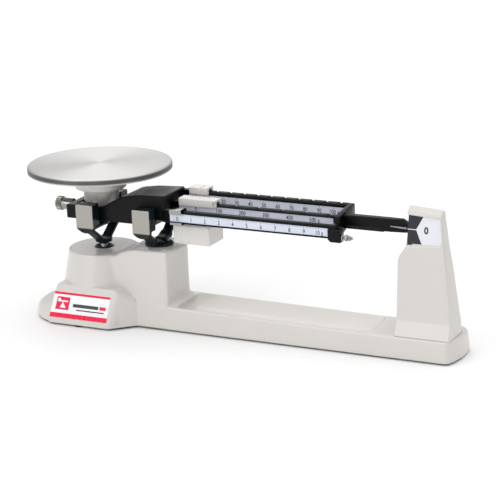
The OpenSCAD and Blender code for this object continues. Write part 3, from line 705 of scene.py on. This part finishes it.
def tail_field(x, y, z):
    top = np.interp(x, [279, 341, 345.5], [133.8, 133.8, 131.2])
    low = np.interp(x, [279, 318, 330, 344, 349], [120.4, 120.4, 120.4, 120.8, 121.4])
    half = np.interp(x, [279, 324, 334, 347, 349], [4, 4, 3.6, 3.6, 3.4])
    cheek = smax(np.abs(y) - half, np.maximum(z - top, low - z), 1.0)
    scoop = 6.5 * np.clip((x - 324) / 22, 0, 1)
    dish = np.hypot((z - 135.5) * 1.0, (y + 5.2) * 1.4) - scoop
    body = smax(cheek, -dish, 0.8)
    rib = box_field(x, y, z, (279, -4.6, 119.9), (322, 4.6, 122.4), 0.8)
    return smax(smax(smin(body, rib, 1), x - 362, 0.6), 278.5 - x, 0.3)


dress(from_field("beam_tail", tail_field, (276, -7, 118), (364, 7, 136), 0.6),
      "beam", BEAM_BLACK, "beam_black", ["beam_casting"])

RAILS = {  # name: (front face's depth, lower edge, upper edge, scale's lower edge)
    "front": (-23.2, 113.7, 127.1, 115.4),
    "middle": (-2.0, 117.5, 131.4, 120.1),
    "rear": (20.0, 124.0, 138.4, 125.5),
}
SCALE_H = 8.6
NOTCHES = {"front": [], "middle": [130.3 + 26.56 * i for i in range(6)],
           "rear": [109.9 + 15.5 * i for i in range(11)]}


def rail(shape, y, z0, z1, scale_z, notches):
    """One rail: a web with lips above and below the scale, and notches in its upper edge."""
    top = [(RAIL_X0 - 4, z0), (RAIL_X1 + 1, z0), (RAIL_X1 + 1, z1)]
    for x in reversed(notches):
        top += [(x + 1.5, z1), (x, z1 - 1.7), (x - 1.5, z1)]
    top += [(RAIL_X0 - 4, z1)]
    shape.along_y(top, y, y + 5)
    lip_z = scale_z + SCALE_H
    lip = [(RAIL_X0 - 1, lip_z), (RAIL_X1 + 1, lip_z)] + top[2:-1] + [(RAIL_X0 - 1, z1)]
    shape.along_y(lip, y - 1.2, y + 0.1)
    shape.box(RAIL_X0 - 1, RAIL_X1 + 1, y - 1.2, y + 0.1, z0, scale_z)


rails = Shape()
for rail_name, (rail_y, z0, z1, scale_z) in RAILS.items():
    rail(rails, rail_y, z0, z1, scale_z, NOTCHES[rail_name])
dress(from_shape("beam_rails", rails, 0.3), "beam", BEAM_BLACK, "beam_black", ["beam_casting"])

end_frame = Shape()
end_frame.along_x([(-24.4, 113.7), (-8, 113.7), (3, 117.5), (25, 124), (25, 138.4), (19.5, 138.4),
                   (-14, 134), (-14, 127.7), (-24.4, 127.7)], RAIL_X1, 279.6)
end_frame.along_y(outline([(271, 113), (274, 110.5), (285, 110.5), (285, 123.5), (271, 123.5)]), -26, -17)
dress(from_shape("beam_end", end_frame, 0.9, 3), "beam", BEAM_BLACK, "beam_black", ["beam_casting"])

# ---- Scale marks ----

MARK_OUT = 0.03


def glyphs(shape, text, x, z, height, to_point, squeeze=0.86, weight=0.0):
    """Adds numerals of a given height, centred on x and z, through to_point(x, z, out)."""
    curve = bpy.data.curves.new("glyphs", "FONT")
    curve.body = text
    curve.align_x = "CENTER"
    curve.align_y = "CENTER"
    curve.size = height / 0.72
    curve.offset = weight
    curve.extrude = 0.02
    curve.resolution_u = 3
    holder = bpy.data.objects.new("glyphs", curve)
    bpy.context.scene.collection.objects.link(holder)
    bpy.context.view_layer.update()
    mesh = bpy.data.meshes.new_from_object(holder.evaluated_get(bpy.context.evaluated_depsgraph_get()))
    points = [to_point(v.co.x * squeeze + x, v.co.y + z, v.co.z + 0.02 + MARK_OUT)
              for v in mesh.vertices]
    shape.add(points, [tuple(p.vertices) for p in mesh.polygons])
    bpy.data.objects.remove(holder)
    bpy.data.curves.remove(curve)
    bpy.data.meshes.remove(mesh)


def patch(shape, corners, to_point, out=MARK_OUT, thick=0.04):
    """Adds a thin printed patch with the given (x, z) corners."""
    shape.loft([[to_point(x, z, d) for x, z in corners] for d in (out, out + thick)])


def tick(shape, x, z_top, length, width, to_point):
    patch(shape, [(x - width / 2, z_top - length), (x + width / 2, z_top - length),
                  (x + width / 2, z_top), (x - width / 2, z_top)], to_point)


# name: (first mark, pitch, number of pitches, divisions of a pitch, value of a pitch)
SCALES = {"front": (102.5, 15.8, 10, 10, 1), "middle": (113.3, 26.56, 5, 1, 100),
          "rear": (103.0, 15.5, 10, 1, 10)}

DIGIT_Z = {"front": 2.9, "middle": 4.6, "rear": 3.2}


def scale_print(name):
    first, pitch, count, parts, value = SCALES[name]
    y, _, _, scale_z = RAILS[name]
    top = scale_z + SCALE_H - 0.25

    def to_point(x, z, out):
        return (x, y - 0.6 - out, z)

    marks = Shape()
    for i in range(count * parts + 1):
        x = first + pitch * i / parts
        length = 2.1 if i % parts == 0 else 1.8 if i % parts == parts // 2 else 1.2
        tick(marks, x, top, length, 0.3 if i % parts == 0 else 0.16, to_point)
    for i in range(count + 1):
        unit = " g" if i == count else ""
        glyphs(marks, f"{i * value}{unit}", first + pitch * i + (0.8 if unit else 0),
               scale_z + DIGIT_Z[name], 4.3, to_point, weight=0.05)
    return from_shape(f"{name}_scale_print", marks)


for scale_name in SCALES:
    dress(scale_print(scale_name), "beam", INK, "scale_strip")

# ---- Index ----

PLATE_DEPTH = 1.6


def on_index(x, z, out):
    return (x, -float(post_half(z)) + PLATE_DEPTH - out, z)


def index_part(name, corners, out, material, slot_name, nodes=()):
    part = Shape()
    part.loft([[on_index(x, z, d) for x, z in corners] for d in (out - 0.5, out)])
    return dress(from_shape(name, part), "base", material, slot_name, nodes)


ARROW_TIP = (357.7, ZERO_Z)
ARROW_TOP, ARROW_LOW = (365.5, 140.9), (364.0, 112.6)
index_part("index_dark", [(348.7, 112.6), ARROW_LOW, ARROW_TIP, ARROW_TOP, (349.5, 141.2)], 0.0,
           INDEX_BLACK, "index_white", ["index_plate"])
index_part("index_arrow", [ARROW_LOW, (385.4, 112.6), (382.6, 140.2), ARROW_TOP, ARROW_TIP], 0.0,
           INDEX_WHITE, "index_white", ["index_plate"])
index_part("index_line", [(348.8, ZERO_Z - 0.35), (ARROW_TIP[0] + 0.4, ZERO_Z - 0.35),
                          (ARROW_TIP[0] + 0.4, ZERO_Z + 0.35), (348.8, ZERO_Z + 0.35)], 0.12,
           INDEX_WHITE, "index_white")
zero = Shape()
glyphs(zero, "0", 368.3, 126.1, 6.7, on_index, 0.95, 0.34)
dress(from_shape("index_zero", zero), "base", INDEX_BLACK, "index_white")

# ---- Label ----

LABEL = [(-41, 6.4), (28.3, 6.4), (31.8, 33.4), (-35.3, 33.4)]


def label_x(z, share):
    """A place across the label at a height, from 0 at its left edge to 1 at its right."""
    t = (z - LABEL[0][1]) / (LABEL[3][1] - LABEL[0][1])
    left = LABEL[0][0] + t * (LABEL[3][0] - LABEL[0][0])
    right = LABEL[1][0] + t * (LABEL[2][0] - LABEL[1][0])
    return left + share * (right - left)


def on_label(x, z, out):
    """A place on the label's film, which stands a little out from the sloping face."""
    return (x, face_y(z) - 0.3 - out, z)


def band(shape, z0, z1, first=0.0, last=1.0):
    patch(shape, [(label_x(z0, first), z0), (label_x(z0, last), z0),
                  (label_x(z1, last), z1), (label_x(z1, first), z1)], on_label)


film = Shape()
film.loft([[on_label(x, z, d) for x, z in LABEL] for d in (-0.35, 0.0)])
dress(from_shape("label_film", film, 0.08), "base", FILM, "label_film", ["label_plate"])
RED_AREAS = ((6.5, 11.4), (30.9, 33.3), (15.0, 28.4, 0.07, 0.30), (18.8, 22.2, 0.84, 0.95))
GREY_AREAS = ((18.8, 22.2, 0.37, 0.82), (15.4, 16.6, 0.44, 0.93))
for name, ink, areas in (("label_bands", RED, RED_AREAS), ("label_bars", GREY_INK, GREY_AREAS)):
    printed = Shape()
    for area in areas:
        band(printed, *area)
    dress(from_shape(name, printed), "base", ink, "label_film")


def above_bands(x, z, out):
    return on_label(x, z, out + 0.05)


sign = Shape()  # a plain balance: its beam, its foot and a load at the left
sign_z = 21.7
sign_x = label_x(sign_z, 0.185)
for corners in ([(-6.2, 1.6), (6.2, 1.6), (6.2, 3.0), (-6.2, 3.0)], [(-3.6, -4.6), (3.6, -4.6), (0, 1.6)],
                [(-5.6, 3.0), (-2.6, 3.0), (-2.6, 5.0), (-5.6, 5.0)]):
    patch(sign, [(sign_x + x, sign_z + z) for x, z in corners], above_bands)
dress(from_shape("label_sign", sign), "base", FILM, "label_film")

# ---- Weighing plate and hub ----

PLATE_R = (plate_high.x - plate_low.x) / 2 / MM
sheet = 1.4
plate_profile = outline([(0.4, 0), (PLATE_R, 0, 2.6), (PLATE_R, -RIM, 0.5), (PLATE_R - sheet, -RIM, 0.5),
                         (PLATE_R - sheet, -sheet, 1.2), (5, -sheet), (5, -17.5, 0.8), (0.4, -17.5)], 8)
plate = Shape().turned(plate_profile, (0, 0, PLATE_TOP), "z", 180)
dress(from_shape("weighing_plate_spun", plate, crease=50), "plate", STEEL_PLATE, "plate_steel",
      ["weighing_plate"])

HUB = outline([(0, 119), (10.5, 119, 2), (12, 124, 5), (20.5, 137, 4), (27.7, 139, 3),
               (27.7, PLATE_TOP - sheet, 0.8), (0, PLATE_TOP - sheet)], 8)


def hub_field(x, y, z):
    bell = outline_field(np.hypot(x, y), z, HUB)
    post = smax(np.hypot(np.abs(x) - 15.5, y) - 5.5, np.maximum(z - 141, 121.5 - z), 2.5)
    bell = smin(bell, smax(post, np.hypot(x, y) - 21, 2), 3)
    spigot = np.maximum(np.hypot(x, y) - 5.05, 145 - z)
    return smax(bell, -spigot, 0.4)


dress(from_field("hub_bell", hub_field, (-30, -30, 117), (30, 30, 166), 0.9),
      "pan_hanger", HUB_ENAMEL, "hub_white", ["pan_hub"])

# ---- Fulcrum and hanger ----

FULCRUM_X = 67.0
KNIFE_Z = 115.0


def fork_field(x, y, z):
    x = x - FULCRUM_X
    y = np.abs(y)
    r = np.hypot(x, y)
    flange = smax(r - 15, np.maximum(z - 84.4, BLOCK_TOP - z), 0.7)
    dome = smax(r - 11, z - 87 + 0.02 * r * r, 2)
    stalk = smax(r - 3.9, np.maximum(z - 84, 68.5 - z), 0.5)
    low_leg = bar_field(x, y, z, (0, 3, 86.6), (0, 17, 89.6), 6.2, 2.0, 1.4)
    high_leg = bar_field(x, y, z, (0, 14.5, 87.6), (0, 29.2, 100.5), 5.4, 2.2, 1.2)
    leg = smin(low_leg, high_leg, 4)
    seat = box_field(x, y, z, (-5, 26.6, 97.6), (5, 33.6, KNIFE_Z - 8), 1.0)
    toe = box_field(x, y, z, (-5, 32.4, 98.6), (5, 37.1, 105), 0.8)
    body = smin(smin(flange, np.maximum(dome, BLOCK_TOP - z), 1.5), leg, 3)
    return np.minimum(smin(smin(body, seat, 1.5), toe, 0.8), stalk)


dress(from_field("fork_body", fork_field, (50, -39, 66), (84, 39, 109), 0.8),
      "base", BRACKET_BLACK, "black_bracket", ["fulcrum_fork"])


def hanger_field(x, y, z):
    """The hanger: a cross bar with bent ends, the spindle, and legs down to the stem's collar."""
    y = np.abs(y)
    r = np.hypot(x, y)
    bar = box_field(x, y, z, (-5.5, -40, 98.5), (5.5, 37.1, 101.5), 0.8)
    upright = box_field(x, y, z, (-5.5, 34.6, 99), (5.5, 37.1, 125.4), 0.8)
    ledge = box_field(x, y, z, (-5.5, 26.6, 123.1), (5.5, 36, 125.4), 0.8)
    spindle = smax(r - 6, np.maximum(z - 119, 99 - z), 0.5)
    leg = bar_field(x, y, z, (0, 6.5, 82.6), (0, 29.6, 99.2), 5.4, 1.7, 1.0)
    collar = smax(r - 9, np.maximum(z - 83.2, 79.1 - z), 1.1)
    collar = smin(collar, smax(r - 5, np.maximum(z - 81, 71 - z), 0.4), 0.8)
    frame_part = np.minimum(smin(bar, upright, 1.2), ledge)
    return smin(smin(frame_part, spindle, 1.5), smin(leg, collar, 2), 1.0)


dress(from_field("hanger_body", hanger_field, (-11, -39, 77), (11, 39, 127), 0.8),
      "pan_hanger", BRACKET_BLACK, "black_bracket", ["hanger_bracket", "hanger_legs"])

COVER_LOW, COVER_TOP, COVER_SHOULDER = 96.5, 127.7, 102.5


def cover_shell(x, y, z):
    """A folded cover, closed in front, with its round lower end bent inwards."""
    y = np.abs(y)
    sag = COVER_SHOULDER - COVER_LOW
    r = (100 + sag * sag) / (2 * sag)
    face = smax(np.abs(x) - 10, z - COVER_TOP, 1.0)
    face = smax(face, np.where(z < COVER_SHOULDER + 2, np.hypot(x, z - COVER_LOW - r) - r, -50), 0.6)
    front = y - 38 + 0.35 * np.maximum(LIP_Z - z, 0)
    outer = smax(face, np.maximum(front, 24 - y), 0.6)
    inner = np.maximum(face + 0.8, front + 0.8)
    relief = np.maximum(y - 32.5, z - 104.5)
    hole = np.maximum(np.hypot(x, z - 101.6) - 0.8, 35 - y)
    return np.maximum(np.maximum(smax(outer, -inner, 0.15), -relief), -hole)


def cover_front(x, y, z):
    return smax(cover_shell(x, y, z), 36.4 - np.abs(y) - 0.35 * np.maximum(LIP_Z - z, 0), 0.15)


def cover_sides(x, y, z):
    inset = np.maximum(np.abs(x) - 9.8, z - COVER_TOP + 0.2)
    return smax(np.maximum(cover_shell(x, y, z), inset),
                np.abs(y) - 36.3 + 0.35 * np.maximum(LIP_Z - z, 0), 0.15)


for cover_name, cover_x, cover_body in (("fulcrum_covers", FULCRUM_X, "base"),
                                        ("hanger_covers", 0.0, "pan_hanger")):
    for part, shape, metal_look, slot_name in (("fronts", cover_front, STEEL_COVER, "cover_steel"),
                                               ("sides", cover_sides, BRACKET_BLACK, "black_bracket")):
        made = from_field(f"{cover_name}_{part}", lambda x, y, z, c=cover_x, f=shape: f(x - c, y, z),
                          (cover_x - 11, -39, 95.5), (cover_x + 11, 39, 129), 0.45)
        dress(made, cover_body, metal_look, slot_name, [cover_name])

# ---- Rider and poises ----

rider = Shape().along_x(outline([(-27.2, 123.6), (-26.4, 123.6), (-26.4, 128.4), (-18, 128.4),
                                 (-18, 113), (-25.6, 113), (-25.6, 114.9), (-26.4, 114.9),
                                 (-26.4, 112.2, 0.5), (-17.2, 112.2, 0.5), (-17.2, 129.2, 0.8),
                                 (-27.2, 129.2, 0.8)]), 95, 108.6)
dress(from_shape("front_rider_clip", rider, 0.18), "front_rider", CHROME, "chrome_bright",
      ["front_rider"])
grip = Shape().box(108.6, 110.2, -18, -17.2, 112.2, 129.2)
dress(from_shape("front_rider_grip", grip, 0.15), "front_rider", BLACK_PLASTIC, "black_cup",
      ["rider_grip"])


def middle_saddle_field(x, y, z):
    body = box_field(x, y, z, (95, -6.4, 127.7), (138, 6.6, 136.2), 1.1)
    slot = np.maximum(np.abs(y + 0.05) - 3.45, z - 134)
    step = box_field(x, y, z, (134.5, -9, 126), (140, -4.6, 134.4), 0.2)
    return np.maximum(np.maximum(body, -slot), -step)


def middle_weight_field(x, y, z):
    block = box_field(x, y, z, (92.5, -16, 89.7), (135, 16, 109.7), 1.8)
    web = box_field(x, y, z, (98, 3.5, 108), (132, 6.6, 128.2), 0.5)
    return smax(smin(block, web, 1.2), z - 127.7, 0.2)


dress(from_field("middle_saddle_body", middle_saddle_field, (94, -8, 126.5), (139, 8, 137.5), 0.5),
      "middle_poise", POISE_ENAMEL, "poise_white", ["middle_poise_saddle"])
dress(from_field("middle_weight_body", middle_weight_field, (91, -18, 88), (137, 18, 130), 0.9),
      "middle_poise", POISE_ENAMEL, "poise_white", ["middle_poise_weight"])


def rear_poise_field(x, y, z):
    saddle = box_field(x, y, z, (96.2, 15.5, 134.9), (118.2, 29.5, 142.6), 1.0)
    slot = np.maximum(np.abs(y - 21.9) - 3.4, z - 141.2)
    saddle = np.maximum(saddle, -slot)
    notch = np.hypot(x - 109.9, z - 142.9) - 1.0
    web = box_field(x, y, z, (96.2, 25.6, 113), (118.2, 29.5, 137), 0.8)
    foot = box_field(x, y, z, (96.2, 18.5, 113), (118.2, 28, 121), 0.8)
    return np.maximum(np.minimum(np.minimum(saddle, web), foot), -notch)


dress(from_field("rear_poise_body", rear_poise_field, (95, 14, 111.5), (119.5, 31, 144), 0.55),
      "rear_poise", POISE_ENAMEL, "poise_white", ["rear_poise_saddle", "rear_poise_weight"])

for name, corners, line_y in (
        ("middle_poise", [(116.5, 128.4), (117.5, 128.4), (114.3, 135.4), (113.3, 135.4)], (-6.46, -6.2)),
        ("rear_poise", [(106.4, 135.6), (107.4, 135.6), (109.4, 141.8), (108.4, 141.8)], (15.44, 15.7))):
    line = from_shape(f"{name}_line", Shape().along_y(corners, *line_y))
    dress(line, name, INDEX_WHITE, "poise_white")

# ---- Screws, knob, nuts, cup and feet ----


def thread(x0, x1, r, pitch):
    """Profile of a screw's thread, as grooves round a rod."""
    count = int((x1 - x0) / pitch)
    ridges = []
    for i in range(count):
        ridges += [(r - 0.28, x0 + pitch * (i + 0.05)), (r, x0 + pitch * (i + 0.5))]
    return [(0.02, x0), *ridges, (r - 0.28, x1), (0.02, x1)]


KNOB_AT = (0, 0, 116.5)
screw = Shape().turned(thread(-50, -24, 3, 1.0), KNOB_AT, "x", 40)
dress(from_shape("zero_screw_thread", screw, crease=30), "beam", ZINC, "zinc_steel", ["zero_screw"])


def knurled(x0, x1, r, teeth, depth, bore):
    """A knurled ring on a bore, between two places along X."""
    rings = []
    turns = [2 * math.pi * i / (teeth * 4) for i in range(teeth * 4)]
    for x, radius, cut in ((x0, r - 0.7, 0.2), (x0 + 0.5, r, 1), (x1 - 0.5, r, 1), (x1, r - 0.7, 0.2)):
        ring = []
        for angle in turns:
            out = radius - depth * cut * (0.5 - 0.5 * math.cos(teeth * angle))
            ring.append((x, out * math.cos(angle), KNOB_AT[2] + out * math.sin(angle)))
        rings.append(ring)
    for x in (x1, x0):
        rings.append([(x, bore * math.cos(a), KNOB_AT[2] + bore * math.sin(a)) for a in turns])
    return Shape().loft(rings, closed=True)


knob_head = knurled(-53.9, -47.2, 7.5, 44, 0.55, 3.05)
knob_head.turned([(0.02, -54), (6.3, -54), (6.3, -50.4), (0.02, -50.4)], KNOB_AT, "x", 64)
dress(from_shape("zero_knob_head", knob_head, crease=30), "zero_knob", KNURL, "knurled_chrome",
      ["zero_knob"])
knob_sleeve = Shape().turned(outline([(3.05, -47.2), (6.3, -47.2), (6.3, -34.5, 0.8), (3.05, -34.5)]),
                             KNOB_AT, "x", 64)
dress(from_shape("zero_knob_sleeve", knob_sleeve, crease=30), "zero_knob", KNURL, "knurled_chrome",
      ["zero_knob"])

STUD_AT = (0, -23, 115.7)
stud = Shape().turned(thread(281, 297, 1.5, 0.7), STUD_AT, "x", 32)
dress(from_shape("end_stud_thread", stud, crease=30), "beam", CHROME, "chrome_bright", ["end_stud"])
nuts = Shape()
for nut_x, thick, nut_r in ((286, 1.2, 3.6), (289.4, 2.6, 3.2), (293.4, 1.4, 2.6)):
    nuts.turned(outline([(1.5, nut_x), (nut_r, nut_x, 0.35), (nut_r, nut_x + thick, 0.35),
                         (1.5, nut_x + thick)], 3), STUD_AT, "x", 40)
dress(from_shape("end_nuts_turned", nuts, crease=30), "beam", CHROME, "chrome_bright", ["end_nuts"])

cup = Shape().turned(outline([(6, -5), (9.5, -5), (9.5, 0), (9.5, 1, 0.5), (8.2, 1.4, 0.5),
                              (6.6, -2, 0.8)], 4), (0, 0, PILLAR_TOP), "z", 64)
dress(from_shape("stem_cup", cup, crease=40), "base", BLACK_PLASTIC, "black_cup", ["stem_grommet"])

feet = Shape()
for foot_x, foot_y in FEET:
    for side in (-1, 1):
        feet.turned(outline([(0.02, -2), (5.2, -2, 0.6), (6, 0), (0.02, 0)], 4),
                    (foot_x, side * foot_y, 0), "z", 48)
dress(from_shape("foot_pads", feet, crease=40), "base", RUBBER, "rubber_black", ["rubber_feet"])

# ---- CAD nodes that stay as they are, with their edges broken ----

KEPT = {
    "fulcrum_nut": ZINC, "fulcrum_bearings": KNIFE_STEEL, "link_bracket": ZINC, "link_pin": ZINC,
    "post_screws": ZINC, "damper_bracket": ZINC, "damper_magnets": MAGNET, "front_scale": STRIP,
    "middle_scale": STRIP, "rear_scale": STRIP, "load_knives": KNIFE_STEEL,
    "fulcrum_knives": KNIFE_STEEL, "pointer": POINTER_GREY, "damper_vane": ALUMINIUM,
    "hanger_stem": ZINC, "hanger_bearings": KNIFE_STEEL, "stem_pin": ZINC, "check_link": ZINC,
    "link_bush": BRASS, "middle_poise_pin": KNIFE_STEEL, "rear_poise_pin": KNIFE_STEEL,
}
for node_name, node_material in KEPT.items():
    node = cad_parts[node_name]
    node.data.materials.clear()
    node.data.materials.append(node_material)
    weld = node.modifiers.new("weld", "WELD")
    weld.merge_threshold = 1e-6
    bevel = node.modifiers.new("bevel", "BEVEL")
    bevel.width = 0.15 * MM
    bevel.segments = 2
    bevel.limit_method = "ANGLE"
    bevel.angle_limit = math.radians(35)
    bevel.harden_normals = True

# ---- Stage, light and camera ----

floor_z = cad_box[0][2]
stage_floor = bpy.data.objects.new("stage_floor", bpy.data.meshes.new("stage_floor"))
reach = 6.0
stage_floor.data.from_pydata([(-reach, -reach, floor_z), (reach, -reach, floor_z),
                              (reach, reach, floor_z), (-reach, reach, floor_z)], [], [(0, 1, 2, 3)])
bpy.context.scene.collection.objects.link(stage_floor)
stage_floor.data.materials.append(plastic("stage_white", (0.93, 0.93, 0.93), 0.9, 0.005, 40, 0.01))

world = bpy.data.worlds.new("studio")
world.use_nodes = True
sky, sky_links = world.node_tree.nodes, world.node_tree.links
sky["Background"].inputs["Color"].default_value = (1, 1, 1, 1)
toward = sky.new("ShaderNodeTexCoord")
height = sky.new("ShaderNodeSeparateXYZ")
sky_links.new(toward.outputs["Generated"], height.inputs[0])
value = height.outputs["Z"]
for operation, numbers in (("MAXIMUM", (0.0,)), ("POWER", (2.0,)), ("MULTIPLY_ADD", (1.45, 0.38))):
    step = sky.new("ShaderNodeMath")
    step.operation = operation
    for i, number in enumerate(numbers):
        step.inputs[i + 1].default_value = number
    sky_links.new(value, step.inputs[0])
    value = step.outputs[0]
sky_links.new(value, sky["Background"].inputs["Strength"])
bpy.context.scene.world = world


def softbox(name, direction, distance, size, power):
    """A large square lamp that faces the middle of the balance."""
    lamp = bpy.data.lights.new(name, "AREA")
    lamp.shape = "SQUARE"
    lamp.size = size
    lamp.energy = power
    holder = bpy.data.objects.new(name, lamp)
    aim = Vector(direction).normalized()
    holder.location = Vector((0, 0, 0.08)) + aim * distance
    holder.rotation_euler = aim.to_track_quat("Z", "Y").to_euler()
    bpy.context.scene.collection.objects.link(holder)


softbox("key", (-0.45, -1.0, 0.4), 2.2, 0.9, 8.8)
softbox("back", (-0.5, 0.9, 0.42), 2.2, 0.7, 1.6)

azimuth, elevation, roll = (math.radians(a) for a in (26.48, 16.05, -1.9))
back = Vector((math.sin(azimuth) * math.cos(elevation), -math.cos(azimuth) * math.cos(elevation),
               math.sin(elevation)))
level = Vector((math.cos(azimuth), math.sin(azimuth), 0))
right = level * math.cos(roll) + back.cross(level) * math.sin(roll)
up = back.cross(right)
camera = bpy.data.objects.new("camera", bpy.data.cameras.new("camera"))
camera.data.sensor_width = 36
camera.data.lens = 142.8
camera.data.clip_end = 20
target = Vector(place((172.55, 0, 85.85)))
turn = Matrix((right, up, back)).transposed().to_4x4()
camera.matrix_world = Matrix.Translation(target + back * 2.0284) @ turn
bpy.context.scene.collection.objects.link(camera)
bpy.context.scene.camera = camera
bpy.context.scene.view_settings.view_transform = "Standard"
